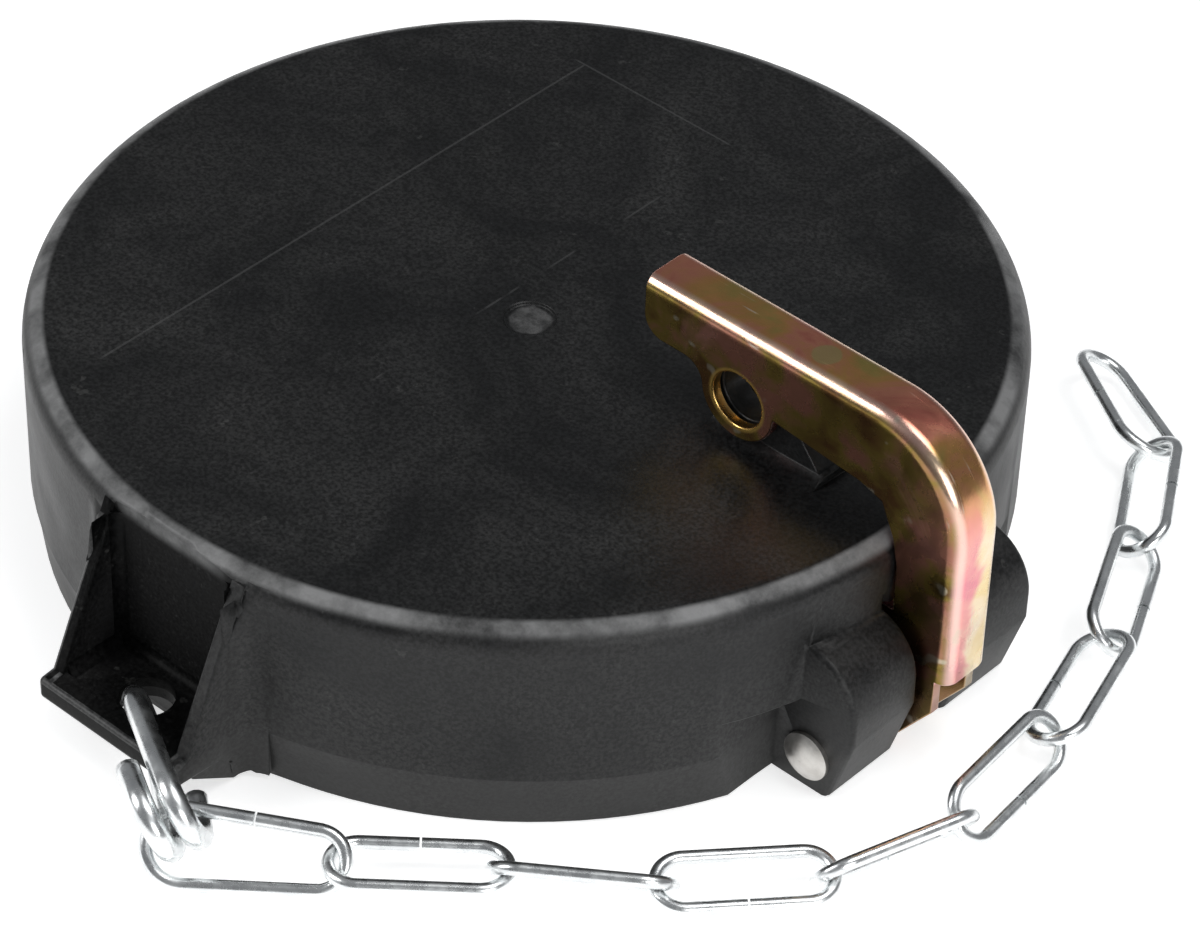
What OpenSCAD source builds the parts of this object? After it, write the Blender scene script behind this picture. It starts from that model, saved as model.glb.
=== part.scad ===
// Dust cap for a bottom loading adapter: a moulded cup with a gasket in its roof,
// a stamped cam lever on a pin between two ears, and a chain on a lap link.
// Origin: cup axis at the rim plane. +Z up to the roof, +X to the latch, -Y to the chain lug.

/* [Cup] */
// Outer diameter of the skirt above the mould seam
cap_d = 165; // [160:1:180]
// Height from the rim to the top face
cap_h = 40.5; // [40:0.5:48]
// Radius of the rounded top edge
edge_r = 4.5; // [2:0.5:6]
// Height of the mould seam above the rim
seam_z = 10; // [7:0.5:13]
// Step of the skirt at the mould seam
seam_step = 0.3; // [0.1:0.05:0.6]
// Draft of the skirt between the seam and the rim, on the radius
rim_draft = 1.1; // [0.2:0.1:2]
// Thickness of the roof over the flange seat
roof_t = 4.5; // [4:0.5:8]
// Width and height of the lead-in chamfer at the mouth
mouth_chamfer = 1; // [0.5:0.25:2]
// Width of the sunk mark at the moulding gate
gate_w = 8.6; // [5:0.2:11]
// Depth of the sunk mark
gate_depth = 0.6; // [0.2:0.1:1.5]
// Gate mark from the cup axis, towards the latch
gate_x = 3.9; // [-8:0.1:8]
// Gate mark from the cup axis, away from the chain lug
gate_y = -3.8; // [-8:0.1:8]

/* [Adapter seat] */
// Diameter of the bore that takes the adapter flange
socket_d = 147; // [142:0.5:150]
// Height left between gasket and catch for the adapter flange
flange_space = 8; // [6:0.5:9]
// How far the bore widens above its plain wall, round the flange's edge
flange_recess = 2; // [1:0.5:3]
// Reach of the fixed catch into the bore, opposite the latch
catch_reach = 4; // [2:0.5:6]
// Height of the fixed catch
catch_h = 7; // [4:0.5:9]
// Angle that the fixed catch covers
catch_arc = 100; // [40:5:140]
// Thickness of the gasket
gasket_t = 3.5; // [2.5:0.5:5]
// Width of the gasket
gasket_w = 12; // [8:0.5:16]
// Depth of the gasket's groove in the roof
gasket_groove = 1.5; // [0.5:0.25:2.5]

/* [Latch ears] */
// Width of each ear
ear_w = 15.8; // [12:0.2:20]
// Distance from the cup axis to the ear's widest point
ear_reach = 90; // [88:0.5:96]
// Undercut of the ear's foot below its widest point
ear_undercut = 4; // [0:0.5:5]
// Height of the crease where the undercut ends
ear_crease_z = 13; // [10:0.5:15]
// Radius of the ear's shoulder
ear_shoulder_r = 10; // [6:0.5:12]
// Height of the ear's shoulder
ear_top_z = 28; // [24:0.5:30]
// Distance from the cup axis to the flat beside the ears
flat_x = 74.4; // [74:0.2:80]
// Height of the flat beside the ears
flat_h = 17; // [12:0.5:22]

/* [Latch lever] */
// Width of the lever's channel
lever_w = 10.4; // [9:0.2:13]
// Sheet thickness of the lever
sheet_t = 2; // [1.5:0.1:2.5]
// Depth of the channel from its back to the flange edge
channel_depth = 10.9; // [8:0.1:13]
// How much deeper the flanges are at the elbow
flange_gain = 4.5; // [2:0.5:6]
// Outer radius of the channel's long edges
channel_edge_r = 2.6; // [2.1:0.1:3.5]
// Outer radius of the lever's elbow
elbow_r = 19; // [15:0.5:24]
// Distance from the cup axis to the back of the short arm
lever_back_x = 94.8; // [93.5:0.1:98]
// Height of the back of the long arm
lever_top_z = 63.7; // [60:0.5:68]
// Distance from the cup axis to the lever's free end
lever_tip_x = 29.5; // [24:0.5:36]
// Radius of the flange corner at the free end
tip_corner_r = 4; // [2:0.5:6]
// Height where the back of the short arm ends
back_end_z = 17.5; // [16:0.5:22]
// Radius of the cam nose about the pin
nose_r = 20.6; // [18:0.2:21]
// Angle of the cam nose's tip about the pin, from the latch direction
nose_angle = 124; // [118:1:130]
// Side clearance between the lever and each ear
lever_side_gap = 1; // [0.5:0.1:1.5]
// Distance from the cup axis to the padlock eye
eye_x = 49.3; // [47.5:0.1:52]
// Height of the padlock eye
eye_z = 50; // [49.8:0.1:51]
// Diameter of the padlock eye
eye_d = 10; // [8:0.5:10.5]
// Width of metal round the padlock eye
eye_wall = 2.4; // [1.5:0.1:2.5]
// Blend radius between the eye and the flange edge
eye_blend_r = 4; // [2:0.5:5]

/* [Padlock fin] */
// Thickness of the fin under the lever
fin_t = 5.2; // [4:0.2:5.6]
// Fin's inner end, from the cup axis
fin_in_x = 42.5; // [38:0.5:44]
// Fin's outer end, from the cup axis
fin_out_x = 65.5; // [62:0.5:72]
// Radius of the fin round its padlock hole
fin_head_r = 7; // [6.5:0.25:7.5]
// Width of the sloping foot on each side of the fin
fin_foot = 2.6; // [1:0.2:4]
// Height of the sloping foot
fin_foot_h = 1.6; // [0.8:0.1:1.8]

/* [Pivot pin] */
// Diameter of the pin
pin_d = 5.6; // [4.6:0.2:6.4]
// Distance from the cup axis to the pin
pin_x = 81.5; // [80.5:0.1:82.5]
// Height of the pin
pin_z = 6.6; // [6.4:0.1:7.5]
// Diameter of the pin's domed head
pin_head_d = 8.6; // [7:0.2:9.2]
// Height of the pin's domed head
pin_head_h = 2; // [1:0.1:3]
// Diameter of the riveted end
rivet_d = 7.4; // [6.6:0.2:8.6]
// Height of the riveted end
rivet_h = 1.3; // [0.8:0.1:2]
// Running clearance of the pin in its bores, on the radius
pin_clearance = 0.05; // [0.03:0.01:0.1]
// Metal round the pin in the lever
hub_wall = 3.1; // [2.4:0.1:3.1]

/* [Chain lug] */
// Width of the lug
lug_w = 31; // [28:0.5:36]
// Offset of the lug's middle towards the latch
lug_shift = 1; // [-2:0.5:2]
// Distance from the cup axis to the lug's outer edge
lug_reach = 96.5; // [95:0.5:104]
// Height of the lug's underside
lug_under_z = 6.5; // [6.5:0.1:8]
// Thickness of the lug's plate
lug_plate_t = 4; // [3:0.25:4.5]
// Thickness of the lug's side ribs
lug_rib_t = 2.6; // [2:0.2:4]
// Distance from the outer edge to the foot of the ribs
lug_lip = 3; // [2:0.25:4]
// Height where the ribs meet the skirt
lug_rib_z = 38.5; // [32:0.5:39.5]
// Distance from the cup axis to the back wall of the lug's pocket
lug_back = 80.6; // [80:0.1:82]
// Fillet radius between the lug and the skirt
lug_fillet_r = 5; // [2:0.5:8]
// Height where the fillets and the rib roots start
lug_root_z = 1; // [0.5:0.5:5]
// Diameter of the lug's hole
lug_hole_d = 9; // [8.6:0.1:10]
// Distance from the lug's outer edge to its hole
lug_hole_in = 9; // [6.5:0.5:9.5]
// Least metal between the lug's hole and the back wall of its pocket
lug_hole_wall = 2.4; // [2:0.1:3]
// Inward reach of the lug's root into the skirt
lug_root = 6; // [5:0.5:8]

/* [Lap link] */
// Wire diameter of the lap link
lap_wire_d = 3.9; // [3.4:0.1:4.2]
// Length of the lap link along its wire's centre line
lap_length = 29.5; // [28:0.5:34]
// Width of the lap link along its wire's centre line
lap_width = 11.7; // [11:0.1:13]
// Gap between the turns
lap_turn_gap = 0.8; // [0.3:0.05:1.2]
// Number of turns
lap_turns = 1.42; // [1.35:0.01:1.6]
// Direction of the lap link, from the latch direction
lap_heading = -32.5; // [-40:0.5:-25]
// Lean of the lap link from upright
lap_lean = 20; // [10:1:24]
// Offset of the coil's middle from the lug's hole, across the link
lap_shift = 0.7; // [0:0.1:1]

/* [Chain] */
// Wire diameter of the chain
chain_wire_d = 2.2; // [2:0.1:2.4]
// Outside length of a link
link_length = 30; // [28:0.2:34]
// Outside width of a link
link_width = 11.5; // [10.5:0.1:13]
// Outside length of the end link on the lap link
end_link_length = 33.3; // [30:0.1:36]
// Outside width at the near end of the first and last link, which are sprung open there
end_link_width = 14; // [11.5:0.5:15]
// Gap where a link's wire ends butt
butt_gap = 0.35; // [0.2:0.05:0.8]
// Play between two links along the chain
link_play = 0.6; // [0.3:0.05:0.9]
// Height of the chain's centre line over the floor
chain_z = 5; // [4.8:0.1:6]
// Ear reach that the chain's directions are laid for
chain_lay_reach = 90; // [88:0.5:96]
// Degrees that the chain bows out at each link, for each millimetre of longer ears
chain_give = 0.3; // [0.2:0.05:0.4]

/* [Hidden] */
$fn = 96;
eps = 0.01;

// Cup
cap_r = cap_d/2;
rim_r = cap_r - seam_step - rim_draft;
socket_r = socket_d/2;
roof_z = cap_h - roof_t;
gasket_top = roof_z + gasket_groove;
gasket_bottom = gasket_top - gasket_t;
gasket_gap = 0.25;
gasket_out_r = socket_r - 1;
gasket_in_r = gasket_out_r - gasket_w;
catch_top = gasket_bottom - flange_space - 0.3;
catch_bottom = catch_top - catch_h;
catch_r = socket_r - catch_reach;
catch_root_r = socket_r + flange_recess + 1;
recess_z = catch_bottom - 0.3;

// Ears and window
gap_half = lever_w/2 + lever_side_gap;
ear_out = gap_half + ear_w;
window_top = pin_z + nose_r + 1.2;
window_in = 10;
ear_root = 4;

// Lever
elbow_x = lever_back_x - elbow_r;
elbow_z = lever_top_z - elbow_r;
flange_edge_z = lever_top_z - channel_depth;
flange_edge_x = lever_back_x - channel_depth;
hub_r = pin_d/2 + pin_clearance + hub_wall;
nose_heel_h = 11.2;
nose_heel_in = 1.2;
foot_rise = 6.5;
flange_rise_start = 10.5;
flange_rise_run = 17.8;
eye_r = eye_d/2 + eye_wall;
eye_blend_z = flange_edge_z - eye_blend_r;
eye_blend_dx = sqrt(pow(eye_r + eye_blend_r, 2) - pow(eye_z - eye_blend_z, 2));
eye_touch_z = eye_z - (eye_z - eye_blend_z)*eye_r/(eye_r + eye_blend_r);

// Chain lug
lug_plate_z = lug_under_z + lug_plate_t;
lug_hole_reach = max(lug_reach - lug_hole_in, lug_back + lug_hole_d/2 + lug_hole_wall);
lug_fillet_drop = 2.5;
lug_foot = lug_reach - lug_lip;

// Lap link: axes along the link, across the coil and along its height
lap_r = lap_width/2;
lap_straight = lap_length - lap_width;
lap_turn = 2*lap_straight + 2*PI*lap_r;
lap_step = lap_wire_d + lap_turn_gap;
lap_centre_z = lug_under_z + lug_plate_t/2 + 0.5;
lap_hole_out = 0.7;

// Chain: directions of the links in plan and their tilt about their own length
link_heading = [35.5, 41, 36.5, 48.5, 72.5, 95.5, 106.5, 116, 121.5, 151];
link_tilt = [48, 0, -48, 12, -56, 54, -21, 42, -36, 30];
butt_side = [1, 1, 1, -1, 1, -1, 1, -1, -1, 1];
// Share of the bow round longer ears that each link takes
link_bow = [0, 1, 2, 3, 4, 3, 2, 1, 0, 0];
link_pitch = link_length - 2*chain_wire_d - link_play;
link_bar = link_width/2 - chain_wire_d/2;
end_pitch = end_link_length - 2*chain_wire_d - link_play;
function pitch_of(i) = i == 1 ? end_pitch : link_pitch;
function heading_of(i) = link_heading[i - 1] - chain_give*link_bow[i - 1]*max(0, ear_reach - chain_lay_reach);

// A point in the lap link's own axes
function lap_point(along, across, up) =
    [lug_shift, -lug_hole_reach - lap_hole_out, lap_centre_z]
    + along*[cos(lap_heading), sin(lap_heading), 0]
    + across*[sin(lap_heading)*cos(lap_lean), -cos(lap_heading)*cos(lap_lean), -sin(lap_lean)]
    + up*[sin(lap_heading)*sin(lap_lean), -cos(lap_heading)*sin(lap_lean), cos(lap_lean)];
// The end link goes through the coil; its near bend stands clear of the outer turn
hang_across = lap_shift + lap_step/2 + lap_wire_d/2 - 0.3;
hang_down = 2.5;
hang_point = lap_point(lap_length - lap_wire_d/2 - chain_wire_d/2, hang_across, -hang_down);
chain_start = [hang_point[0], hang_point[1], chain_z];
function step_dir(a) = [cos(a), sin(a), 0];
function joint_at(i) = i == 0 ? chain_start : joint_at(i - 1) + pitch_of(i)*step_dir(heading_of(i));

// The cup's outer form: drafted foot, seam, skirt and rounded top edge
module cup_outline() {
    polygon([[0, 0], [rim_r, 0], [cap_r - seam_step, seam_z], [cap_r, seam_z + seam_step],
             [cap_r, cap_h - edge_r], [cap_r - edge_r, cap_h - edge_r], [cap_r - edge_r, cap_h], [0, cap_h]]);
    translate([cap_r - edge_r, cap_h - edge_r]) circle(r = edge_r);
}

// The bore, the gasket's groove and the chamfered mouth
module cup_bore() {
    difference() {
        rotate_extrude()
            polygon([[0, -1], [socket_r + mouth_chamfer + 1, -1], [socket_r, mouth_chamfer],
                     [socket_r, recess_z], [socket_r + flange_recess, recess_z],
                     [socket_r + flange_recess, roof_z], [gasket_out_r + gasket_gap, roof_z],
                     [gasket_out_r + gasket_gap, gasket_top], [gasket_in_r - gasket_gap, gasket_top],
                     [gasket_in_r - gasket_gap, roof_z], [0, roof_z]]);
        fixed_catch();
    }
}

// The lip that hooks under the adapter's flange, opposite the latch
module fixed_catch() {
    rotate([0, 0, 180 - catch_arc/2])
        rotate_extrude(angle = catch_arc)
            polygon([[catch_r, catch_bottom + catch_reach], [socket_r, catch_bottom],
                     [catch_root_r, catch_bottom], [catch_root_r, catch_top], [catch_r, catch_top]]);
}

// One ear's side profile: undercut foot, crease and rounded shoulder
module ear_profile() {
    polygon([[flat_x - ear_root, 0], [ear_reach - ear_undercut, 0], [ear_reach, ear_crease_z],
             [ear_reach, ear_top_z - ear_shoulder_r],
             [ear_reach - ear_shoulder_r, ear_top_z - ear_shoulder_r],
             [ear_reach - ear_shoulder_r, ear_top_z], [flat_x - ear_root, ear_top_z]]);
    translate([ear_reach - ear_shoulder_r, ear_top_z - ear_shoulder_r]) circle(r = ear_shoulder_r);
}

module ears() {
    for (side = [-1, 1])
        translate([0, side*(gap_half + ear_w/2) + ear_w/2, 0])
            rotate([90, 0, 0])
                linear_extrude(ear_w) ear_profile();
}

// Triangular ribs and plate of the chain lug, drawn in its side view
module lug_block() {
    translate([lug_shift - lug_w/2, 0, 0])
        rotate([90, 0, 90])
            linear_extrude(lug_w)
                polygon([[-lug_back + lug_root, lug_root_z], [-lug_back - 1, lug_root_z],
                         [-lug_back - lug_root, lug_under_z], [-lug_reach, lug_under_z],
                         [-lug_reach, lug_plate_z], [-lug_foot, lug_plate_z + 0.4],
                         [-lug_back, lug_rib_z], [-lug_back + lug_root, lug_rib_z]]);
}

// The spaces between the lug's ribs, above and below its plate, and the hole in the plate
module lug_spaces() {
    inside_w = lug_w - 2*lug_rib_t;
    translate([lug_shift - inside_w/2, -lug_reach - 1, 0]) {
        translate([0, 0, lug_plate_z]) cube([inside_w, lug_reach + 1 - lug_back, cap_h]);
        translate([0, 0, -1]) cube([inside_w, lug_reach + 1 - lug_back, lug_under_z + 1]);
    }
    translate([lug_shift, -lug_hole_reach, lug_under_z - 1]) cylinder(d = lug_hole_d, h = lug_plate_t + 2);
}

// Concave fillets where the lug's sides run into the skirt
module lug_fillets() {
    for (side = [0, 1])
        mirror([side, 0, 0])
            translate([0, 0, lug_root_z])
                linear_extrude(lug_rib_z - lug_root_z - lug_fillet_drop)
                    fillet_section(lug_w/2 + (1 - 2*side)*lug_shift);
}

// Plan of one fillet, from a lug side standing at x = start_x
module fillet_section(start_x) {
    fillet_x = start_x + lug_fillet_r;
    fillet_y = sqrt(pow(cap_r + lug_fillet_r, 2) - pow(fillet_x, 2));
    touch_x = fillet_x*cap_r/(cap_r + lug_fillet_r);
    touch_y = fillet_y*cap_r/(cap_r + lug_fillet_r);
    difference() {
        polygon([[start_x - 1, -fillet_y], [fillet_x, -fillet_y], [touch_x, -touch_y],
                 [touch_x - lug_root/2, -touch_y + lug_root], [start_x - 1, -touch_y + lug_root]]);
        translate([fillet_x, -fillet_y]) circle(r = lug_fillet_r);
    }
}

// The fin that stands in the lever's channel, with its padlock hole
module fin() {
    slope_x = eye_x + fin_head_r*0.75;
    slope_z = eye_z + fin_head_r*0.66;
    translate([0, fin_t/2, 0])
        rotate([90, 0, 0])
            linear_extrude(fin_t)
                union() {
                    polygon([[fin_in_x, cap_h - 1], [fin_out_x, cap_h - 1], [fin_out_x, cap_h],
                             [slope_x, slope_z], [eye_x, eye_z], [eye_x - fin_head_r, eye_z],
                             [fin_in_x, cap_h + fin_foot_h]]);
                    translate([eye_x, eye_z]) circle(r = fin_head_r);
                }
    translate([fin_in_x, 0, 0])
        rotate([90, 0, 90])
            linear_extrude(fin_out_x - fin_in_x)
                polygon([[-fin_t/2 - fin_foot, cap_h - 1], [fin_t/2 + fin_foot, cap_h - 1],
                         [fin_t/2 + fin_foot, cap_h], [fin_t/2, cap_h + fin_foot_h],
                         [-fin_t/2, cap_h + fin_foot_h], [-fin_t/2 - fin_foot, cap_h]]);
}

module cap_body() color([0.07, 0.07, 0.08]) {
    difference() {
        union() {
            difference() {
                rotate_extrude() cup_outline();
                // Flats beside the ears
                translate([flat_x, -cap_r, -1]) cube([cap_r, cap_d, flat_h + 1]);
            }
            ears();
            lug_block();
            lug_fillets();
            fin();
        }
        cup_bore();
        // Window for the cam nose, open to the gap between the ears
        translate([socket_r - window_in, -gap_half, -1]) cube([ear_reach, 2*gap_half, window_top + 1]);
        // Pin's bore through both ears
        translate([pin_x, 0, pin_z]) rotate([90, 0, 0])
            cylinder(r = pin_d/2 + pin_clearance, h = 2*ear_out + 2, center = true);
        lug_spaces();
        // Padlock hole in the fin
        translate([eye_x, 0, eye_z]) rotate([90, 0, 0]) cylinder(d = eye_d, h = 2*fin_t, center = true);
        // Sunk gate mark
        translate([gate_x, gate_y, cap_h - gate_depth]) cylinder(d = gate_w, h = 1 + gate_depth);
    }
}

module gasket() color([0.10, 0.10, 0.10]) {
    corner = 0.5;
    rotate_extrude()
        polygon([[gasket_in_r, gasket_bottom + corner], [gasket_in_r + corner, gasket_bottom],
                 [gasket_out_r - corner, gasket_bottom], [gasket_out_r, gasket_bottom + corner],
                 [gasket_out_r, gasket_top], [gasket_in_r, gasket_top]]);
}

// Cross-section of the channel: back at x = 0, flanges towards -x
module channel_section() {
    inner_r = channel_edge_r - sheet_t;
    half = lever_w/2;
    difference() {
        union() {
            translate([-channel_depth, -half]) square([channel_depth - channel_edge_r, lever_w]);
            translate([-channel_edge_r - eps, -half + channel_edge_r])
                square([channel_edge_r + eps, lever_w - 2*channel_edge_r]);
            for (side = [-1, 1])
                translate([-channel_edge_r, side*(half - channel_edge_r)]) circle(r = channel_edge_r);
        }
        translate([-channel_depth - 1, -half + sheet_t])
            square([channel_depth + 1 - channel_edge_r, lever_w - 2*sheet_t]);
        translate([-channel_edge_r - eps, -half + channel_edge_r])
            square([channel_edge_r - sheet_t + eps, lever_w - 2*channel_edge_r]);
        for (side = [-1, 1])
            translate([-channel_edge_r, side*(half - channel_edge_r)]) circle(r = inner_r);
    }
}

// The lower end of a flange: slope under the back, hub round the pin, and the cam nose
module flange_foot_profile() {
    tip = [pin_x + nose_r*cos(nose_angle), pin_z + nose_r*sin(nose_angle)];
    // Angle about the pin where the nose's arc meets the flange's inner edge
    start = acos((flange_edge_x - pin_x)/nose_r);
    polygon(concat(
        [[flange_edge_x, elbow_z + eps]],
        [for (k = [0:12]) let (a = start + k*(nose_angle - start)/12)
            [pin_x + nose_r*cos(a), pin_z + nose_r*sin(a)]],
        [[tip[0] + 0.3, tip[1] - 1.8], [pin_x - hub_r - nose_heel_in, pin_z + nose_heel_h],
         [pin_x - hub_r, pin_z],
         [pin_x, pin_z], [pin_x + hub_r*0.8, pin_z - hub_r*0.6],
         [lever_back_x - channel_edge_r, back_end_z - foot_rise],
         [lever_back_x - channel_edge_r, elbow_z + eps]]));
    translate([pin_x, pin_z]) circle(r = hub_r);
}

// The extra depth of the flanges towards the elbow and down to the nose
module deep_flange_profile() {
    // Inner edge beside the skirt, kept clear of the cup
    skirt_x = cap_r + 0.4;
    inside = 1;
    bow = (elbow_r - channel_depth + inside)*0.71;
    polygon([[lever_tip_x + flange_rise_start, flange_edge_z + inside],
             [lever_tip_x + flange_rise_start, flange_edge_z],
             [elbow_x - flange_rise_run, flange_edge_z - 0.67*flange_gain],
             [elbow_x - 1.2, flange_edge_z - flange_gain],
             [elbow_x + 3.3, flange_edge_z - flange_gain - 1.4], [skirt_x - 1.1, cap_h + 0.5],
             [skirt_x, cap_h - edge_r], [skirt_x, window_top - 1.5],
             [flange_edge_x + inside, window_top - 1.5], [flange_edge_x + inside, elbow_z],
             [elbow_x + bow, elbow_z + bow], [elbow_x, flange_edge_z + inside]]);
}

// The padlock eye's lobe, blended into the long arm's flange edge
module eye_profile() {
    translate([eye_x, eye_z]) circle(r = eye_r);
    difference() {
        translate([eye_x - eye_blend_dx, eye_touch_z])
            square([2*eye_blend_dx, flange_edge_z + eps - eye_touch_z]);
        for (side = [-1, 1])
            translate([eye_x + side*eye_blend_dx, eye_blend_z]) circle(r = eye_blend_r);
    }
}

module both_flanges() {
    for (side = [-1, 1])
        translate([0, side*(lever_w/2 - sheet_t/2) + sheet_t/2, 0])
            rotate([90, 0, 0]) linear_extrude(sheet_t) children();
}

module latch_lever() color([0.72, 0.50, 0.30]) {
    difference() {
        union() {
            // Long arm
            translate([lever_tip_x, 0, lever_top_z])
                rotate([90, -90, 90]) linear_extrude(elbow_x - lever_tip_x) channel_section();
            // Elbow
            translate([elbow_x, 0, elbow_z]) rotate([90, 0, 0])
                rotate_extrude(angle = 90) translate([elbow_r, 0]) channel_section();
            // Short arm
            translate([lever_back_x, 0, back_end_z])
                linear_extrude(elbow_z - back_end_z) channel_section();
            both_flanges() flange_foot_profile();
            both_flanges() deep_flange_profile();
            both_flanges() eye_profile();
        }
        // Pin's bore
        translate([pin_x, 0, pin_z]) rotate([90, 0, 0])
            cylinder(r = pin_d/2 + pin_clearance, h = lever_w + 2, center = true);
        // Padlock eye
        translate([eye_x, 0, eye_z]) rotate([90, 0, 0]) cylinder(d = eye_d, h = lever_w + 2, center = true);
        // Rounded flange corners at the free end
        translate([lever_tip_x, 0, flange_edge_z])
            rotate([90, 0, 0]) linear_extrude(lever_w + 2, center = true)
                difference() {
                    translate([-1, -1]) square([tip_corner_r + 1, tip_corner_r + 1]);
                    translate([tip_corner_r, tip_corner_r]) circle(r = tip_corner_r);
                }
    }
}

module pivot_pin() color([0.75, 0.75, 0.74]) {
    crown = pin_head_h*0.65;
    head_edge = pin_head_h - crown;
    ball_r = (pow(pin_head_d/2, 2) + pow(crown, 2))/(2*crown);
    translate([pin_x, 0, pin_z]) rotate([90, 0, 0]) {
        translate([0, 0, -ear_out - eps]) cylinder(d = pin_d, h = 2*ear_out + 2*eps);
        // Domed head on the side towards the chain lug
        translate([0, 0, ear_out]) cylinder(d = pin_head_d, h = head_edge + eps);
        intersection() {
            translate([0, 0, ear_out + head_edge]) cylinder(d = pin_head_d, h = crown + 1);
            translate([0, 0, ear_out + pin_head_h - ball_r]) sphere(r = ball_r);
        }
        // Riveted end
        translate([0, 0, -ear_out - rivet_h])
            cylinder(d1 = rivet_d - 1.2, d2 = rivet_d, h = rivet_h);
    }
}

// A point of the lap link's centre line, at a length along its wire from the first cut end
function oval_point(s) =
    let (u = s - floor(s/lap_turn)*lap_turn,
         arc = PI*lap_r)
    u < lap_straight ? [-lap_straight/2 + u, lap_r]
    : u < lap_straight + arc ?
        let (a = 90 - (u - lap_straight)/lap_r*180/PI) [lap_straight/2 + lap_r*cos(a), lap_r*sin(a)]
    : u < 2*lap_straight + arc ? [lap_straight/2 - (u - lap_straight - arc), -lap_r]
    : let (a = 270 - (u - 2*lap_straight - arc)/lap_r*180/PI)
        [-lap_straight/2 + lap_r*cos(a), lap_r*sin(a)];
function lap_centre(s, s_mid) =
    let (o = oval_point(s))
    lap_point(o[0] + lap_length/2, (s_mid - s)/lap_turn*lap_step + lap_shift, o[1]);
function unit(v) = v/norm(v);

module lap_link() color([0.78, 0.80, 0.82]) {
    sides = 14;
    wire_len = lap_turns*lap_turn;
    // The wire's middle lies in the lug's hole, at the middle of the near bend
    s_mid = 2*lap_straight + 1.5*PI*lap_r;
    s_start = s_mid - wire_len/2;
    rings = 84;
    centres = [for (i = [0:rings]) lap_centre(s_start + i*wire_len/rings, s_mid)];
    across = [sin(lap_heading)*cos(lap_lean), -cos(lap_heading)*cos(lap_lean), -sin(lap_lean)];
    points = [for (i = [0:rings])
        let (along = unit(centres[min(i + 1, rings)] - centres[max(i - 1, 0)]),
             side = unit(across - (across*along)*along),
             normal = cross(along, side))
        for (k = [0:sides - 1])
            centres[i] + lap_wire_d/2*(cos(360*k/sides)*side + sin(360*k/sides)*normal)];
    faces = concat(
        [[for (k = [0:sides - 1]) k]],
        [for (i = [0:rings - 1], k = [0:sides - 1])
            [i*sides + k, (i + 1)*sides + k, (i + 1)*sides + (k + 1)%sides, i*sides + (k + 1)%sides]],
        [[for (k = [sides - 1:-1:0]) rings*sides + k]]);
    polyhedron(points, faces, convexity = 6);
}

// One link lying along x in the x-y plane, with its near end towards -x
module link_shape(length, near_width, side) {
    near_bar = near_width/2 - chain_wire_d/2;
    span = length - near_width/2 - link_width/2;
    taper = asin((near_bar - link_bar)/span);
    bar_len = span*cos(taper);
    // A tapered link's bars are swaged a hair over its bends; a straight link's meet them flush
    lap = taper == 0 ? 0 : 0.3;
    bar_d = chain_wire_d + 0.2*lap;
    translate([near_width/2 - length/2, 0, 0]) {
        rotate([0, 0, 90 - taper])
            rotate_extrude(angle = 180 + 2*taper)
                translate([near_bar, 0]) circle(d = chain_wire_d, $fn = 48);
        translate([span, 0, 0])
            rotate([0, 0, taper - 90])
                rotate_extrude(angle = 180 - 2*taper)
                    translate([link_bar, 0]) circle(d = chain_wire_d, $fn = 48);
        difference() {
            for (bar = [-1, 1])
                link_bar_frame(bar, taper, near_bar)
                    translate([-lap, 0, 0]) rotate([0, 90, 0])
                        cylinder(d = bar_d, h = bar_len + 2*lap, $fn = 48);
            // Butt joint of the wire
            link_bar_frame(side, taper, near_bar)
                translate([bar_len/2, 0, 0]) cube([butt_gap, 2*chain_wire_d, 2*chain_wire_d], center = true);
        }
    }
}

// Puts its child at the near end of one straight bar, pointing along the bar
module link_bar_frame(bar, taper, near_bar) {
    rotate([0, 0, bar*(90 - taper)])
        translate([near_bar, 0, 0])
            rotate([0, 0, -bar*90]) children();
}

module chain_link(i) color([0.80, 0.82, 0.84]) {
    translate(joint_at(i - 1) + pitch_of(i)/2*step_dir(heading_of(i)))
        rotate([0, 0, heading_of(i)])
            rotate([link_tilt[i - 1], 0, 0])
                link_shape(i == 1 ? end_link_length : link_length,
                           i == 1 || i == 10 ? end_link_width : link_width, butt_side[i - 1]);
}

cap_body();
gasket();
latch_lever();
pivot_pin();
lap_link();
chain_link(1);  // chain_link_1
chain_link(2);  // chain_link_2
chain_link(3);  // chain_link_3
chain_link(4);  // chain_link_4
chain_link(5);  // chain_link_5
chain_link(6);  // chain_link_6
chain_link(7);  // chain_link_7
chain_link(8);  // chain_link_8
chain_link(9);  // chain_link_9
chain_link(10);  // chain_link_10
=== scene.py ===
from math import atan2, cos, degrees, pi, radians, sin, sqrt

import bmesh
import bpy
from mathutils import Matrix, Vector


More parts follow.
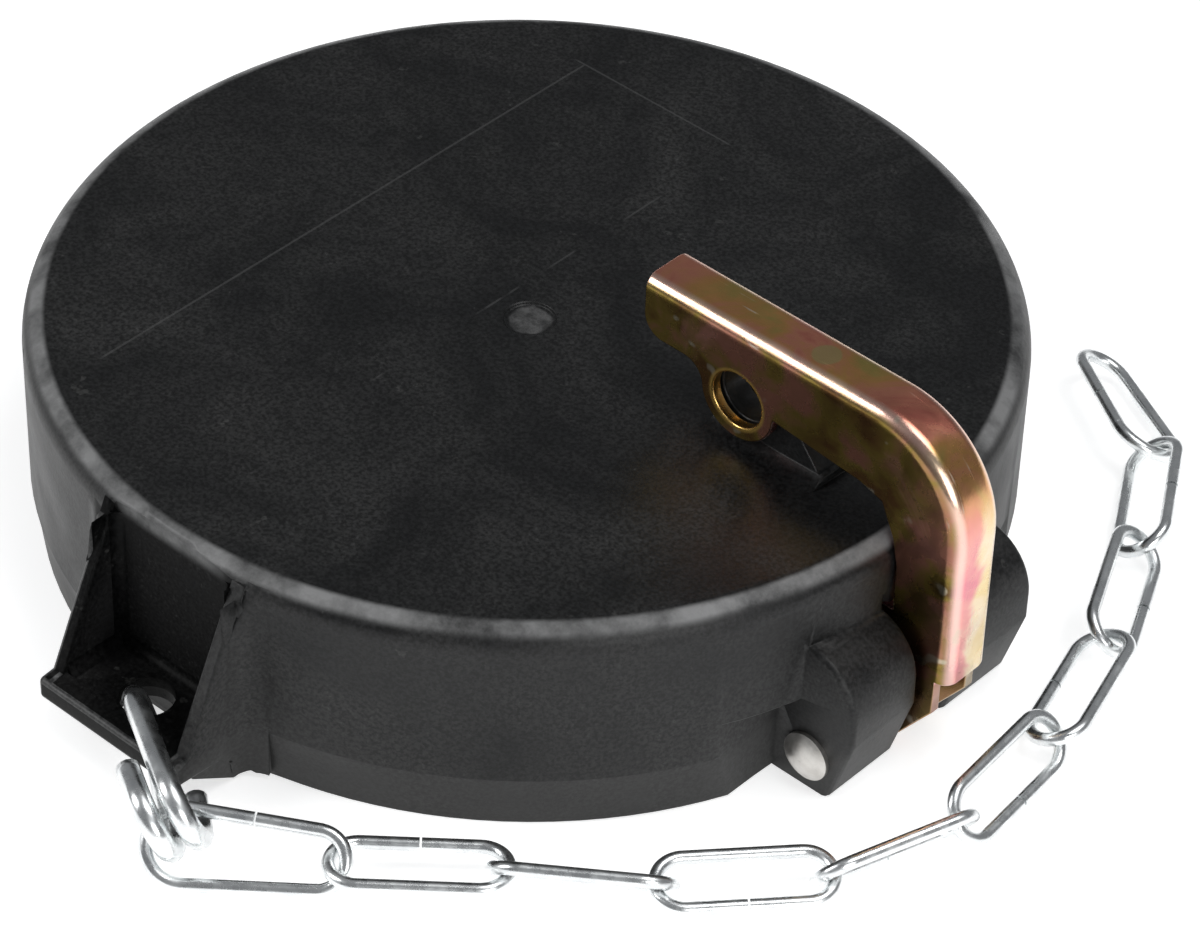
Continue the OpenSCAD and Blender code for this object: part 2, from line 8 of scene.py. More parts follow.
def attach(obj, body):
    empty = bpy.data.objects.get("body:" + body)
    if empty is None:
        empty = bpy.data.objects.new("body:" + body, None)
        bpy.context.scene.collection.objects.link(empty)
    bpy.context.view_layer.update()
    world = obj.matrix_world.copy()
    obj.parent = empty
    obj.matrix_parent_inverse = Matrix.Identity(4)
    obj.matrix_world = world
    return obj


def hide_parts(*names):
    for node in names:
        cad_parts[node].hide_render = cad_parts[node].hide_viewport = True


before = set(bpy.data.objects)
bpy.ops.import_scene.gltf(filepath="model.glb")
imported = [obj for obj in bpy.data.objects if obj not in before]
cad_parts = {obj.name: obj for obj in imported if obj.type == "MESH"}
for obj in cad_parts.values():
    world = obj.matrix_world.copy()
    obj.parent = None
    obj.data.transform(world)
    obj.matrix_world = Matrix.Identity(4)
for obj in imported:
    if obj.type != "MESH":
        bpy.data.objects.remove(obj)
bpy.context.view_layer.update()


# ---------------------------------------------------------------- camera
# The photograph is taken from 42.5 degrees round from the latch and 40.3 degrees
# up, 800 mm from the middle of the cap, aimed a little off it and tipped 1.2 degrees.
def photo_camera():
    azimuth, height, roll = radians(42.5), 0.70319, 0.020966
    focal, aim_x, aim_y = 4737.11, -75.557, -20.850
    back = Vector((sin(azimuth)*cos(height), -cos(azimuth)*cos(height), sin(height)))
    right = Vector((cos(azimuth), sin(azimuth), 0))
    up = back.cross(right)
    tipped_right = cos(roll)*right + sin(roll)*up
    tipped_up = -sin(roll)*right + cos(roll)*up
    turn, nod = atan2(aim_x, focal), atan2(aim_y, focal)
    lens_right = tipped_right*cos(turn) - back*sin(turn)
    level = -tipped_right*sin(turn) - back*cos(turn)
    lens_up = tipped_up*cos(nod) + level*sin(nod)
    lens_back = lens_right.cross(lens_up)
    data = bpy.data.cameras.new("photo_camera")
    data.sensor_width, data.lens = 36, focal/1200*36
    data.clip_start, data.clip_end = 0.01, 20
    camera = bpy.data.objects.new("photo_camera", data)
    axes = Matrix((lens_right, lens_up, lens_back)).transposed().to_4x4()
    camera.matrix_world = Matrix.Translation(back*0.8) @ axes
    bpy.context.collection.objects.link(camera)
    bpy.context.scene.camera = camera


photo_camera()


# ---------------------------------------------------------------- light and floor
# A cut-out photograph on white: a large soft light above and behind, a strip that
# runs along the edges from the left, and a floor and world that show as plain white.
def soft_lamp(name, place, aim, width, depth, power):
    data = bpy.data.lights.new(name, "AREA")
    data.shape, data.size, data.size_y, data.energy = "RECTANGLE", width, depth, power
    lamp = bpy.data.objects.new(name, data)
    lamp.location = place
    lamp.rotation_euler = (Vector(aim) - Vector(place)).to_track_quat("-Z", "Y").to_euler()
    bpy.context.collection.objects.link(lamp)


def white_world():
    world = bpy.data.worlds.new("white_world")
    bpy.context.scene.world = world
    world.use_nodes = True
    nodes, links = world.node_tree.nodes, world.node_tree.links
    nodes.clear()
    room = nodes.new("ShaderNodeBackground")
    room.inputs["Color"].default_value = (0.80, 0.82, 0.85, 1)
    room.inputs["Strength"].default_value = 0.25
    paper = nodes.new("ShaderNodeBackground")
    paper.inputs["Color"].default_value = (1, 1, 1, 1)
    path = nodes.new("ShaderNodeLightPath")
    pick = nodes.new("ShaderNodeMixShader")
    out = nodes.new("ShaderNodeOutputWorld")
    links.new(path.outputs["Is Camera Ray"], pick.inputs["Fac"])
    links.new(room.outputs[0], pick.inputs[1])
    links.new(paper.outputs[0], pick.inputs[2])
    links.new(pick.outputs[0], out.inputs["Surface"])


def white_floor():
    form = bmesh.new()
    bmesh.ops.create_grid(form, x_segments=1, y_segments=1, size=3)
    mesh = bpy.data.meshes.new("white_floor")
    form.to_mesh(mesh)
    form.free()
    floor = bpy.data.objects.new("white_floor", mesh)
    bpy.context.collection.objects.link(floor)
    paint = bpy.data.materials.new("floor_paper")
    paint.use_nodes = True
    nodes, links = paint.node_tree.nodes, paint.node_tree.links
    nodes.clear()
    matt = nodes.new("ShaderNodeBsdfDiffuse")
    matt.inputs["Color"].default_value = (0.86, 0.86, 0.86, 1)
    glow = nodes.new("ShaderNodeEmission")
    glow.inputs["Strength"].default_value = 0.62
    both = nodes.new("ShaderNodeAddShader")
    path = nodes.new("ShaderNodeLightPath")
    seen = nodes.new("ShaderNodeMath")
    seen.operation = "MAXIMUM"
    pick = nodes.new("ShaderNodeMixShader")
    out = nodes.new("ShaderNodeOutputMaterial")
    links.new(path.outputs["Is Camera Ray"], seen.inputs[0])
    links.new(path.outputs["Is Glossy Ray"], seen.inputs[1])
    links.new(matt.outputs[0], both.inputs[0])
    links.new(glow.outputs[0], both.inputs[1])
    links.new(seen.outputs[0], pick.inputs["Fac"])
    links.new(matt.outputs[0], pick.inputs[1])
    links.new(both.outputs[0], pick.inputs[2])
    links.new(pick.outputs[0], out.inputs["Surface"])
    mesh.materials.append(paint)


soft_lamp("strip_left", (-0.95, -1.20, 1.05), (0, 0, 0.03), 0.45, 1.0, 13)
soft_lamp("panel_above", (0.55, 0.25, 1.5), (0, 0, 0.03), 0.9, 0.9, 9)
soft_lamp("panel_right", (1.35, -0.55, 0.55), (0.05, 0, 0.02), 0.7, 0.7, 8)
white_world()
white_floor()
bpy.context.scene.view_settings.view_transform = "Standard"


# ---------------------------------------------------------------- cap body
# One moulding in black nylon: cup, ears, chain lug and fin. Every edge has the small
# radius of the mould, the faces carry a fine sparkle of erosion and a dusty bloom.
def shader_group(name, inputs, outputs):
    group = bpy.data.node_groups.new(name, "ShaderNodeTree")
    for label, kind, value in inputs:
        socket = group.interface.new_socket(label, in_out="INPUT", socket_type=kind)
        socket.default_value = value
    for label, kind in outputs:
        group.interface.new_socket(label, in_out="OUTPUT", socket_type=kind)
    return group, group.nodes.new("NodeGroupInput"), group.nodes.new("NodeGroupOutput")


def noise_node(tree, vector, scale, detail, rough=0.55, distortion=0.0):
    noise = tree.nodes.new("ShaderNodeTexNoise")
    noise.inputs["Scale"].default_value = scale
    noise.inputs["Detail"].default_value = detail
    noise.inputs["Roughness"].default_value = rough
    noise.inputs["Distortion"].default_value = distortion
    tree.links.new(vector, noise.inputs["Vector"])
    return noise.outputs["Fac"]


def ramp_node(tree, value, stops):
    ramp = tree.nodes.new("ShaderNodeValToRGB")
    elements = ramp.color_ramp.elements
    while len(elements) < len(stops):
        elements.new(0.5)
    for element, (at, colour) in zip(elements, stops):
        element.position = at
        element.color = colour if len(colour) == 4 else (*colour, 1)
    tree.links.new(value, ramp.inputs["Fac"])
    return ramp.outputs["Color"]


def grey(level):
    return (level, level, level, 1)


def mix_colour(tree, amount, first, second, kind="MIX"):
    mix = tree.nodes.new("ShaderNodeMix")
    mix.data_type, mix.blend_type = "RGBA", kind
    for socket, value in ((mix.inputs[0], amount), (mix.inputs[6], first), (mix.inputs[7], second)):
        if isinstance(value, bpy.types.NodeSocket):
            tree.links.new(value, socket)
        else:
            socket.default_value = value
    return mix.outputs[2]


def maths(tree, operation, first, second=0.0, clamp=False):
    node = tree.nodes.new("ShaderNodeMath")
    node.operation, node.use_clamp = operation, clamp
    for socket, value in ((node.inputs[0], first), (node.inputs[1], second)):
        if isinstance(value, bpy.types.NodeSocket):
            tree.links.new(value, socket)
        else:
            socket.default_value = value
    return node.outputs[0]


def object_place(tree):
    return tree.nodes.new("ShaderNodeTexCoord").outputs["Object"]


def add_group(tree, group):
    node = tree.nodes.new("ShaderNodeGroup")
    node.node_tree = group
    return node


def new_paint(name, rough, metal, specular=0.5):
    paint = bpy.data.materials.new(name)
    paint.use_nodes = True
    shader = paint.node_tree.nodes["Principled BSDF"]
    shader.inputs["Roughness"].default_value = rough
    shader.inputs["Metallic"].default_value = metal
    shader.inputs["Specular IOR Level"].default_value = specular
    return paint, paint.node_tree, shader


def bump_node(tree, height, strength, distance):
    bump = tree.nodes.new("ShaderNodeBump")
    bump.inputs["Strength"].default_value = strength
    bump.inputs["Distance"].default_value = distance
    tree.links.new(height, bump.inputs["Height"])
    return bump.outputs["Normal"]


def fade(tree, value, start, end):
    node = tree.nodes.new("ShaderNodeMapRange")
    node.interpolation_type = "SMOOTHSTEP"
    tree.links.new(value, node.inputs["Value"])
    node.inputs["From Min"].default_value, node.inputs["From Max"].default_value = start, end
    return node.outputs["Result"]


def product(tree, *values):
    result = values[0]
    for value in values[1:]:
        result = maths(tree, "MULTIPLY", result, value)
    return result


def mould_marks_group():
    """Height and tone of the marks on the roof, and a mask of the top edge band that carries wear and a painted
    highlight.
    """
    group, given, result = shader_group("mould_marks", [], [
        ("Line", "NodeSocketFloat"), ("Gate", "NodeSocketFloat"), ("Edge", "NodeSocketFloat"),
        ("Foot", "NodeSocketFloat")])
    tree, place = group, object_place(group)
    split = tree.nodes.new("ShaderNodeSeparateXYZ")
    tree.links.new(place, split.inputs[0])
    x, y, z = split.outputs

    def band(value, middle, half):
        off = maths(tree, "ABSOLUTE", maths(tree, "SUBTRACT", value, middle))
        return fade(tree, off, half*1.3, half*0.5)

    def between(value, low, high):
        return product(tree, fade(tree, value, low - 0.0006, low + 0.0006),
                       fade(tree, value, high + 0.0006, high - 0.0006))

    roof = fade(tree, z, 0.0398, 0.0402)
    long_line = product(tree, band(x, -0.0380, 0.00022), between(y, -0.0595, 0.0548))
    end_line = product(tree, band(y, 0.0548, 0.00022), between(x, -0.0400, -0.0045))
    broken = fade(tree, noise_node(tree, place, 130, 2), 0.47, 0.60)
    faint = product(tree, band(x, -0.0030, 0.00020), between(y, -0.0336, 0.0380), broken)
    lines = maths(tree, "MAXIMUM", maths(tree, "MAXIMUM", long_line, end_line), faint)
    tree.links.new(product(tree, roof, lines), result.inputs["Line"])
    flat = tree.nodes.new("ShaderNodeVectorMath")
    flat.operation = "MULTIPLY"
    flat.inputs[1].default_value = (1, 1, 0)
    tree.links.new(place, flat.inputs[0])
    from_gate = tree.nodes.new("ShaderNodeVectorMath")
    from_gate.operation = "DISTANCE"
    from_gate.inputs[1].default_value = (0.0039, -0.0038, 0)
    tree.links.new(flat.outputs[0], from_gate.inputs[0])
    ragged = maths(tree, "ADD", from_gate.outputs["Value"],
                   maths(tree, "MULTIPLY", noise_node(tree, place, 330, 2), 0.0016))
    tree.links.new(product(tree, fade(tree, ragged, 0.0046, 0.0040), fade(tree, z, 0.038, 0.0385)),
                   result.inputs["Gate"])
    reach = tree.nodes.new("ShaderNodeVectorMath")
    reach.operation = "LENGTH"
    tree.links.new(flat.outputs[0], reach.inputs[0])
    radius = reach.outputs["Value"]
    tree.links.new(product(tree, band(radius, 0.0801, 0.0013), fade(tree, z, 0.0362, 0.0388)),
                   result.inputs["Edge"])
    tree.links.new(fade(tree, z, 0.0108, 0.0092), result.inputs["Foot"])
    return group


def black_nylon_paint(name, specular, level):
    paint, tree, shader = new_paint(name, 0.5, 0, specular)
    place = object_place(tree)
    marks = add_group(tree, mould_marks_group())
    cloud = noise_node(tree, place, 34, 8, 0.66, 0.8)
    bloom = ramp_node(tree, cloud, [(0.40, grey(0)), (0.66, grey(1))])
    streak_place = tree.nodes.new("ShaderNodeMapping")
    streak_place.inputs["Scale"].default_value = (22, 60, 40)
    streak_place.inputs["Rotation"].default_value = (0, 0, 0.7)
    tree.links.new(place, streak_place.inputs["Vector"])
    streak = noise_node(tree, streak_place.outputs[0], 1.0, 6, 0.6, 1.6)
    flow = ramp_node(tree, streak, [(0.52, grey(0)), (0.68, grey(1))])
    speck = ramp_node(tree, noise_node(tree, place, 1100, 2, 0.6), [(0.58, grey(0)), (0.72, grey(1))])
    lint = ramp_node(tree, noise_node(tree, place, 260, 3, 0.5), [(0.715, grey(0)), (0.735, grey(1))])
    base = mix_colour(tree, bloom, (0.0095*level, 0.0099*level, 0.0103*level, 1),
                      (0.0280*level, 0.0281*level, 0.0278*level, 1))
    dust = product(tree, maths(tree, "ADD", product(tree, bloom, 0.6), product(tree, flow, 0.5)), speck)
    dusty = mix_colour(tree, product(tree, dust, 0.30), base, (0.10, 0.10, 0.10, 1))
    spotted = mix_colour(tree, product(tree, lint, 0.20), dusty, (0.12, 0.12, 0.115, 1))
    patch = ramp_node(tree, noise_node(tree, place, 75, 6, 0.65), [(0.36, grey(0.15)), (0.62, grey(1))])
    # A lighter band on the upper part of the rounded top edge: partly wear, partly a painted highlight.
    edge_wear_and_highlight = product(tree, marks.outputs["Edge"], patch)
    grain = noise_node(tree, place, 1500, 3, 0.6)
    pitted = mix_colour(tree, 1.0, spotted, ramp_node(tree, grain, [(0.38, grey(0.22)), (0.62, grey(1.0))]),
                        "MULTIPLY")
    rubbed_and_highlit = mix_colour(tree, edge_wear_and_highlight, pitted, (0.220, 0.221, 0.221, 1))
    lined = mix_colour(tree, product(tree, marks.outputs["Line"], 0.35), rubbed_and_highlit, (0.09, 0.09, 0.09, 1))
    footed = mix_colour(tree, product(tree, marks.outputs["Foot"], 0.35), lined, (0.030, 0.030, 0.029, 1))
    chalk = ramp_node(tree, noise_node(tree, place, 420, 4, 0.7), [(0.40, grey(0.035)), (0.62, grey(0.100))])
    gate = mix_colour(tree, product(tree, marks.outputs["Gate"], 0.85), footed, chalk)
    tree.links.new(gate, shader.inputs["Base Color"])
    gloss = ramp_node(tree, cloud, [(0.3, grey(0.36)), (0.72, grey(0.55))])
    tree.links.new(gloss, shader.inputs["Roughness"])
    swell = noise_node(tree, place, 45, 3, 0.5)
    sunk = product(tree, marks.outputs["Line"], -1.6)
    height = maths(tree, "ADD", maths(tree, "ADD", product(tree, grain, 0.55), product(tree, swell, 1.2)), sunk)
    tree.links.new(bump_node(tree, height, 0.35, 0.00018), shader.inputs["Normal"])
    return paint


RIB_FOOT_Y, RIB_FOOT_Z, RIB_SLOPE = 0.0935, 0.0109, 12.9/27.6
ROOT_Y, ROOT_Z, ROOT_SLOPE = 0.0816, 0.0010, 5.0/5.5
LUG_CUT = -0.0850


def lug_front(z):
    """How far the lug's side stands out from the cup's axis, at a height."""
    if z > RIB_FOOT_Z:
        return RIB_FOOT_Y - (z - RIB_FOOT_Z)*RIB_SLOPE
    return 0.0844 + (z - ROOT_Z)*1.55 if z < 0.0065 else RIB_FOOT_Y + 0.003


def sink_fillets(form):
    """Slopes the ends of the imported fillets, so that the smoother ones below cover them."""
    for corner in form.verts:
        x, y, z = corner.co
        out = abs(x - 0.001)
        if y < -0.0799 and 0.0152 < out < 0.0230:
            if abs(z - 0.0360) < 1e-5 and out < 0.01555:
                if y < -0.0835:
                    corner.co.z = RIB_FOOT_Z + (RIB_FOOT_Y + y)/RIB_SLOPE
            elif abs(z - 0.0360) < 1e-5:
                corner.co.z = min(z, RIB_FOOT_Z + (RIB_FOOT_Y - 0.0010 + y)/RIB_SLOPE)
            elif abs(z - 0.0010) < 1e-5:
                corner.co.z = max(z, ROOT_Z + (0.0006 - y - ROOT_Y)/ROOT_SLOPE)
    bmesh.ops.remove_doubles(form, verts=form.verts, dist=2e-5)
    everything = form.verts[:] + form.edges[:] + form.faces[:]
    bmesh.ops.bisect_plane(form, geom=everything, dist=1e-6, plane_co=(0, LUG_CUT, 0), plane_no=(0, 1, 0))


def rounded_copy(name, rounding, angle, paints, body, reshape=None):
    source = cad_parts[name]
    form = bmesh.new()
    form.from_mesh(source.data)
    bmesh.ops.remove_doubles(form, verts=form.verts, dist=2e-6)
    bmesh.ops.recalc_face_normals(form, faces=form.faces)
    if reshape:
        reshape(form)
    if rounding:
        bmesh.ops.dissolve_limit(form, angle_limit=radians(0.4), verts=form.verts, edges=form.edges)
    # Faces in the lug's pocket take the second paint when one is given; for the cap that is the darker copy that
    # paints the pocket's shade.
    for face in form.faces:
        face.material_index = int(len(paints) > 1 and in_lug(face.calc_center_median()))
    for chosen, width, steps, look in rounding:
        sharp = [edge for edge in form.edges if len(edge.link_faces) == 2
                 and edge.calc_face_angle() > radians(angle) and chosen(edge)]
        bmesh.ops.bevel(form, geom=sharp, offset=width, offset_type="OFFSET", segments=steps, profile=0.5,
                        affect="EDGES", clamp_overlap=False, material=look)
    for face in form.faces:
        face.smooth = True
    mesh = bpy.data.meshes.new(name + "_skin")
    form.to_mesh(mesh)
    form.free()
    mesh.set_sharp_from_angle(angle=radians(angle))
    for paint in paints:
        mesh.materials.append(paint)
    skin = bpy.data.objects.new(name + "_skin", mesh)
    bpy.context.collection.objects.link(skin)
    if rounding:
        even = skin.modifiers.new("even_shading", "WEIGHTED_NORMAL")
        even.mode, even.weight, even.keep_sharp = "FACE_AREA", 60, False
    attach(skin, body)
    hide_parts(name)
    return skin


def within(edge, low, high):
    return all(low[axis] < end.co[axis] < high[axis] for end in edge.verts for axis in range(3))


def on_ear(edge):
    clear = all((end.co.x - 0.0815)**2 + (end.co.z - 0.0066)**2 > 0.0045**2 for end in edge.verts)
    return edge.is_convex and clear and (within(edge, (0.0760, 0.0060, -1), (0.1, 0.0222, 0.0290))
                                         or within(edge, (0.0760, -0.0222, -1), (0.1, -0.0060, 0.0290)))


def in_lug(place):
    return -0.0142 < place.x < 0.0139 and place.y < -0.0800 and 0.0060 < place.z < 0.0384


def on_lug(edge):
    return within(edge, (-0.0146, -0.0970, 0), (0.0166, LUG_CUT + 0.0001, 0.0384))


def at_hole(edge):
    return all((end.co.x - 0.001)**2 + (end.co.y + 0.0875)**2 < 0.0048**2 for end in edge.verts)


def elsewhere(edge):
    by_lug = within(edge, (-0.0220, -0.0970, -1), (0.0240, -0.0770, 0.0402))
    return not by_lug and not within(edge, (0.0735, -0.0225, -1), (0.1, 0.0225, 0.0290))


def finish_moulding(name, form, paint):
    bmesh.ops.recalc_face_normals(form, faces=form.faces)
    for face in form.faces:
        face.smooth = True
    mesh = bpy.data.meshes.new(name)
    form.to_mesh(mesh)
    form.free()
    mesh.set_sharp_from_angle(angle=radians(50))
    mesh.materials.append(paint)
    moulding = bpy.data.objects.new(name, mesh)
    bpy.context.collection.objects.link(moulding)
    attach(moulding, "cap")


def join_rings(form, rings):
    for low, high in zip(rings, rings[1:]):
        for one in range(len(low)):
            two = (one + 1) % len(low)
            form.faces.new((low[one], low[two], high[two], high[one]))
    form.faces.new(rings[0])
    form.faces.new(rings[-1])


def pocket_fillets(name, paint):
    """Small concave fillets where the walls of the lug's pocket meet its plate and back."""
    form, ball = bmesh.new(), 0.0018
    left, right, back, front, floor = -0.0119, 0.0139, -0.0806, -0.0925, 0.0105
    for start, end, first, second in (
            ((left, front, floor), (left, back, floor), (1, 0, 0), (0, 0, 1)),
            ((right, front, floor), (right, back, floor), (-1, 0, 0), (0, 0, 1)),
            ((left, back, floor), (right, back, floor), (0, -1, 0), (0, 0, 1)),
            ((left, back, floor), (left, back, 0.0372), (1, 0, 0), (0, -1, 0)),
            ((right, back, floor), (right, back, 0.0372), (-1, 0, 0), (0, -1, 0))):
        rings = []
        for corner in (Vector(start), Vector(end)):
            ring = [corner - 0.0003*(Vector(first) + Vector(second))]
            for step in range(7):
                turn = pi/2*step/6
                ring.append(corner + ball*((1 - cos(turn))*Vector(first) + (1 - sin(turn))*Vector(second)))
            rings.append([form.verts.new(place) for place in ring])
        join_rings(form, rings)
    finish_moulding(name, form, paint)


def lug_webs(name, paint):
    """The ribs' thin feet under the plate, which slope down to the foot of the skirt."""
    form = bmesh.new()
    for inner, outer in ((-0.0143, -0.0121), (0.0141, 0.0163)):
        rings = [[form.verts.new((x, y, z)) for y, z in
                  ((-0.0925, 0.0068), (-0.0925, 0.0062), (-0.0838, 0.0006), (-0.0806, 0.0006), (-0.0806, 0.0068))]
                 for x in (inner, outer)]
        join_rings(form, rings)
    finish_moulding(name, form, paint)


def lug_fillet(name, side, paint):
    """A concave fillet from the lug's side to the skirt, fading into the rounded top edge."""
    start, ball, steps = 0.0155 + side*0.0010, 0.0058, 12
    form = bmesh.new()
    rings = []
    for level in range(39):
        z = 0.0010 + level*0.0010
        skirt = 0.0825 if z > 0.0102 else 0.0811 + 0.11*z
        if z > 0.0360:
            skirt = 0.0780 + sqrt(0.0045**2 - (z - 0.0360)**2)
        middle_x = start + ball
        middle_y = sqrt((skirt + ball)**2 - middle_x**2)
        sweep = atan2(middle_y, middle_x)
        front = lug_front(z) - 0.0006
        ring = [(start - 0.0012, sqrt(skirt**2 - start**2) - 0.0012)]
        for step in range(steps + 1):
            angle = pi + sweep*step/steps
            x, y = middle_x + ball*cos(angle), middle_y + ball*sin(angle)
            soft = max(0.0, 0.0012 - abs(y - front))
            y = min(y, front) - soft*soft/0.0048
            ring.append((x - (0.0001 if step == 0 else 0), max(y, sqrt(skirt**2 - x**2) - 0.0002)))
        ring.append((ring[-1][0] - 0.0004, ring[-1][1] - 0.0012))
        rings.append([form.verts.new((side*x, -y, z)) for x, y in ring])
    join_rings(form, rings)
    finish_moulding(name, form, paint)


black_nylon = black_nylon_paint("black_nylon", 0.32, 1.0)
# A darker, less glossy copy of the nylon: painted shade for the lug's pocket.
pocket_shade_nylon = black_nylon_paint("pocket_shade_nylon", 0.06, 0.35)
# A lighter copy of the nylon: a painted highlight for the lug's rounded edges.
edge_highlight_nylon = black_nylon_paint("edge_highlight_nylon", 0.45, 2.4)
# The lug's convex edges are rounded with faces in the third paint, the painted highlight.
cap_rounding = [(lambda edge: on_lug(edge) and edge.is_convex and not at_hole(edge), 0.0008, 3, 2),
                (on_ear, 0.0011, 3, 0), (elsewhere, 0.0004, 2, 0)]
rounded_copy("cap_body", cap_rounding, 48, [black_nylon, pocket_shade_nylon, edge_highlight_nylon], "cap",
             sink_fillets)
lug_fillet("lug_fillet_right", 1, black_nylon)
lug_fillet("lug_fillet_left", -1, black_nylon)
# The pocket's fillets also take the painted-shade copy.
pocket_fillets("pocket_fillets", pocket_shade_nylon)
lug_webs("lug_webs", black_nylon)


# ---------------------------------------------------------------- gasket
# A flat ring of black seal rubber in a groove of the roof, smooth and a little shiny,
# with the faint turning marks of a cut ring.
def seal_rubber_paint():
    paint, tree, shader = new_paint("seal_rubber", 0.5, 0, 0.5)
    place = object_place(tree)
    cloud = noise_node(tree, place, 60, 5)
    tree.links.new(ramp_node(tree, cloud, [(0.35, (0.010, 0.010, 0.010)), (0.7, (0.020, 0.020, 0.019))]),
                   shader.inputs["Base Color"])
    tree.links.new(ramp_node(tree, cloud, [(0.3, grey(0.45)), (0.7, grey(0.62))]),
                   shader.inputs["Roughness"])
    tree.links.new(bump_node(tree, noise_node(tree, place, 1200, 2), 0.08, 0.0002),
                   shader.inputs["Normal"])
    return paint


def dress(name, paint):
    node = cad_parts[name]
    node.data.materials.clear()
    node.data.materials.append(paint)


dress("gasket", seal_rubber_paint())
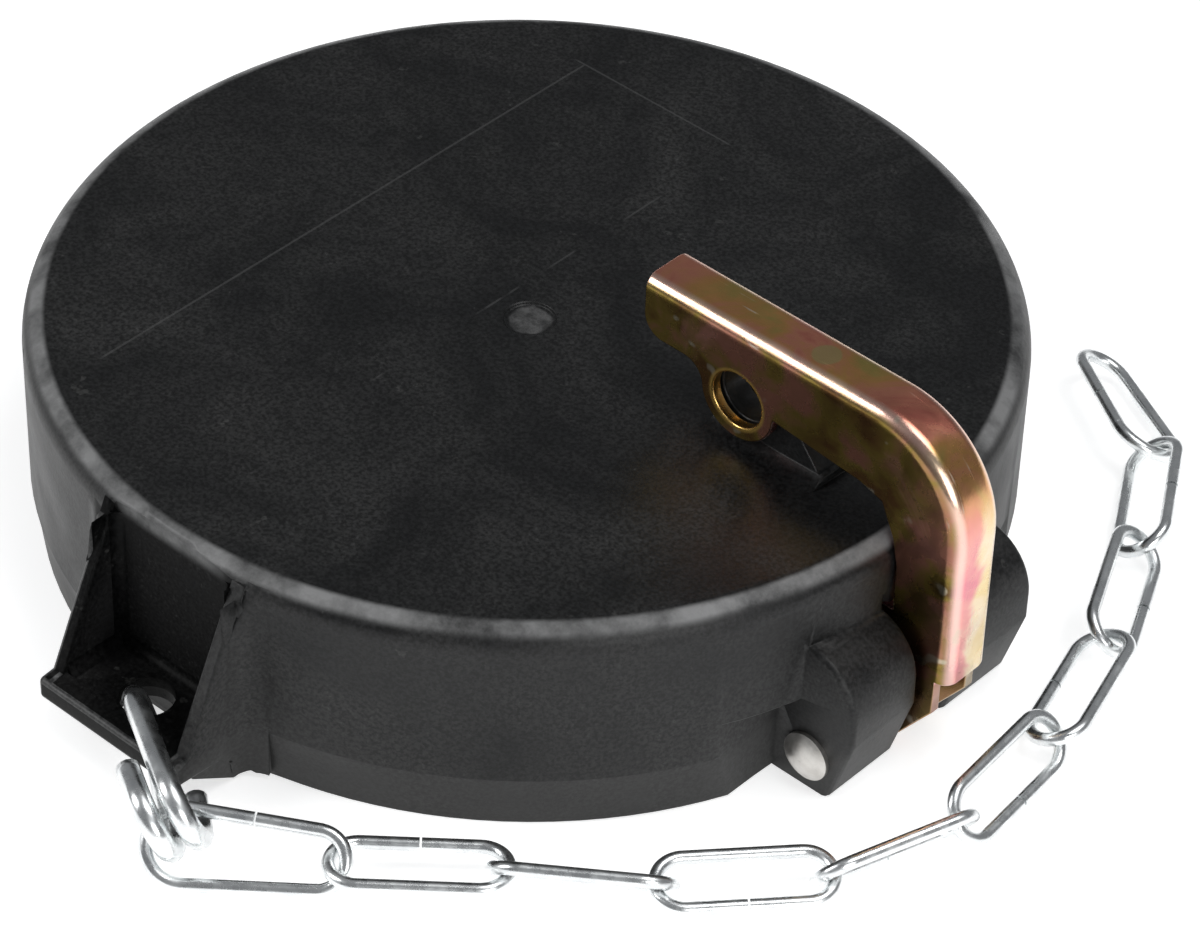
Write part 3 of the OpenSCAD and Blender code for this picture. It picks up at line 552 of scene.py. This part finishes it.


# ---------------------------------------------------------------- latch lever
# A cam lever folded from 2 mm steel sheet and yellow passivated over zinc: pink and copper on the web, olive on
# the flanges, darkened there as painted shade, a pale painted highlight along the bends, pale where the coat is
# thin or scuffed.
def yellow_zinc_paint():
    paint, tree, shader = new_paint("yellow_zinc", 0.3, 1, 0.5)
    place = object_place(tree)
    facing = tree.nodes.new("ShaderNodeSeparateXYZ")
    tree.links.new(tree.nodes.new("ShaderNodeNewGeometry").outputs["Normal"], facing.inputs[0])
    where = tree.nodes.new("ShaderNodeSeparateXYZ")
    tree.links.new(place, where.inputs[0])
    flank = fade(tree, maths(tree, "ABSOLUTE", facing.outputs["Y"]), 0.55, 0.92)
    cloud = noise_node(tree, place, 48, 5, 0.6, 0.9)
    patch = noise_node(tree, place, 95, 4, 0.55, 0.5)
    web = ramp_node(tree, cloud, [(0.36, (0.58, 0.185, 0.140)), (0.46, (0.70, 0.290, 0.190)),
                                  (0.56, (0.62, 0.330, 0.120)), (0.66, (0.46, 0.360, 0.110))])
    across = maths(tree, "ADD", where.outputs["Y"], product(tree, maths(tree, "SUBTRACT", cloud, 0.5), 0.016))
    pinker = ramp_node(tree, patch, [(0.38, (0.74, 0.270, 0.310)), (0.62, (0.84, 0.400, 0.360))])
    creamy = ramp_node(tree, patch, [(0.38, (0.82, 0.640, 0.340)), (0.62, (0.88, 0.740, 0.560))])
    short = mix_colour(tree, fade(tree, across, 0.0002, 0.0026), pinker, creamy)
    back = mix_colour(tree, fade(tree, where.outputs["Z"], 0.056, 0.044), web, short)
    # The flanges' olive is a darker palette picked by the faces' sideways facing: coat colour, darkened as
    # painted shade.
    olive = ramp_node(tree, patch, [(0.36, (0.15, 0.075, 0.028)), (0.50, (0.25, 0.180, 0.042)),
                                    (0.64, (0.36, 0.160, 0.110))])
    pink = fade(tree, cloud, 0.56, 0.70)
    side = mix_colour(tree, product(tree, pink, 0.75), olive, (0.52, 0.24, 0.20, 1))
    coat = mix_colour(tree, flank, back, side)
    # Faces turned about 45 degrees on the bends get a pale painted highlight.
    bend_highlight_mask = product(tree, fade(tree, maths(tree, "ABSOLUTE", facing.outputs["Y"]), 0.12, 0.5),
                   fade(tree, maths(tree, "ABSOLUTE", facing.outputs["Y"]), 0.97, 0.6))
    bend_highlighted = mix_colour(tree, product(tree, bend_highlight_mask, 0.55), coat, (0.90, 0.72, 0.62, 1))
    spot = fade(tree, noise_node(tree, place, 150, 2, 0.5), 0.69, 0.73)
    pale = mix_colour(tree, product(tree, spot, 0.55), bend_highlighted, (0.62, 0.58, 0.46, 1))
    drip = tree.nodes.new("ShaderNodeVectorMath")
    drip.operation = "DISTANCE"
    drip.inputs[1].default_value = (0.0625, -0.0002, 0.0637)
    tree.links.new(place, drip.inputs[0])
    oval = fade(tree, maths(tree, "ADD", drip.outputs["Value"], product(tree, patch, 0.0016)), 0.0034, 0.0029)
    stained = mix_colour(tree, product(tree, oval, 0.8), pale, (0.52, 0.42, 0.19, 1))
    from_eye = tree.nodes.new("ShaderNodeVectorMath")
    from_eye.operation = "DISTANCE"
    from_eye.inputs[1].default_value = (0.0493, 0, 0.0500)
    flat = tree.nodes.new("ShaderNodeVectorMath")
    flat.operation = "MULTIPLY"
    flat.inputs[1].default_value = (1, 0, 1)
    tree.links.new(place, flat.inputs[0])
    tree.links.new(flat.outputs[0], from_eye.inputs[0])
    ring = fade(tree, from_eye.outputs["Value"], 0.0060, 0.0054)
    golden = mix_colour(tree, product(tree, ring, 0.85), stained, (0.78, 0.50, 0.13, 1))
    # Below about 17.6 mm the coat is mixed towards a darker olive-brown.
    nose = fade(tree, where.outputs["Z"], 0.0176, 0.0166)
    darker_low_down = mix_colour(tree, product(tree, nose, 0.7), golden, (0.26, 0.17, 0.07, 1))
    hair_place = tree.nodes.new("ShaderNodeMapping")
    hair_place.inputs["Scale"].default_value = (90, 900, 90)
    hair_place.inputs["Rotation"].default_value = (0.3, 0.5, 0.4)
    tree.links.new(place, hair_place.inputs["Vector"])
    hair = noise_node(tree, hair_place.outputs[0], 1.0, 3, 0.6)
    scratch = product(tree, fade(tree, hair, 0.64, 0.70), fade(tree, patch, 0.48, 0.60))
    scratched = mix_colour(tree, product(tree, scratch, 0.6), darker_low_down, (0.72, 0.68, 0.58, 1))
    tree.links.new(scratched, shader.inputs["Base Color"])
    smear = noise_node(tree, place, 170, 5, 0.6)
    tree.links.new(maths(tree, "ADD", ramp_node(tree, smear, [(0.3, grey(0.20)), (0.7, grey(0.34))]),
                         product(tree, fade(tree, hair, 0.62, 0.75), 0.18)), shader.inputs["Roughness"])
    height = maths(tree, "ADD", noise_node(tree, place, 420, 4), product(tree, hair, 0.3))
    tree.links.new(bump_node(tree, height, 0.10, 0.0002), shader.inputs["Normal"])
    return paint


yellow_zinc = yellow_zinc_paint()
rounded_copy("latch_lever", [(lambda edge: True, 0.0003, 2, 0)], 40, [yellow_zinc], "lever")


# ---------------------------------------------------------------- pivot pin
# A plain steel rivet pin with a low domed head, dull from the hammer, riveted over
# behind the far ear.
def pin_steel_paint():
    paint, tree, shader = new_paint("pin_steel", 0.35, 1, 0.5)
    place = object_place(tree)
    cloud = noise_node(tree, place, 300, 5, 0.6)
    tree.links.new(ramp_node(tree, cloud, [(0.35, (0.50, 0.48, 0.45)), (0.65, (0.72, 0.70, 0.67))]),
                   shader.inputs["Base Color"])
    tree.links.new(ramp_node(tree, cloud, [(0.3, grey(0.30)), (0.7, grey(0.5))]),
                   shader.inputs["Roughness"])
    tree.links.new(bump_node(tree, noise_node(tree, place, 700, 3), 0.10, 0.0003),
                   shader.inputs["Normal"])
    return paint


dress("pivot_pin", pin_steel_paint())


# ---------------------------------------------------------------- lap link
# A coil of zinc plated wire, wound one and a half turns like a split ring, that
# threads through the lug's hole and carries the chain.
def zinc_wire_paint():
    paint, tree, shader = new_paint("zinc_wire", 0.2, 1, 0.5)
    place = object_place(tree)
    cloud = noise_node(tree, place, 140, 5, 0.6)
    tree.links.new(ramp_node(tree, cloud, [(0.35, (0.70, 0.72, 0.73)), (0.65, (0.90, 0.92, 0.92))]),
                   shader.inputs["Base Color"])
    tree.links.new(ramp_node(tree, noise_node(tree, place, 420, 4), [(0.3, grey(0.20)), (0.7, grey(0.36))]),
                   shader.inputs["Roughness"])
    tree.links.new(bump_node(tree, noise_node(tree, place, 520, 4), 0.10, 0.0003),
                   shader.inputs["Normal"])
    return paint


zinc_wire = zinc_wire_paint()
rounded_copy("lap_link", [], 50, [zinc_wire], "lap")


# ---------------------------------------------------------------- chain
# Ten links of zinc plated wire, bent and butted without a weld; the first and the
# last are sprung a little open at one end.
for number in range(1, 11):
    dress(f"chain_link_{number}", zinc_wire)
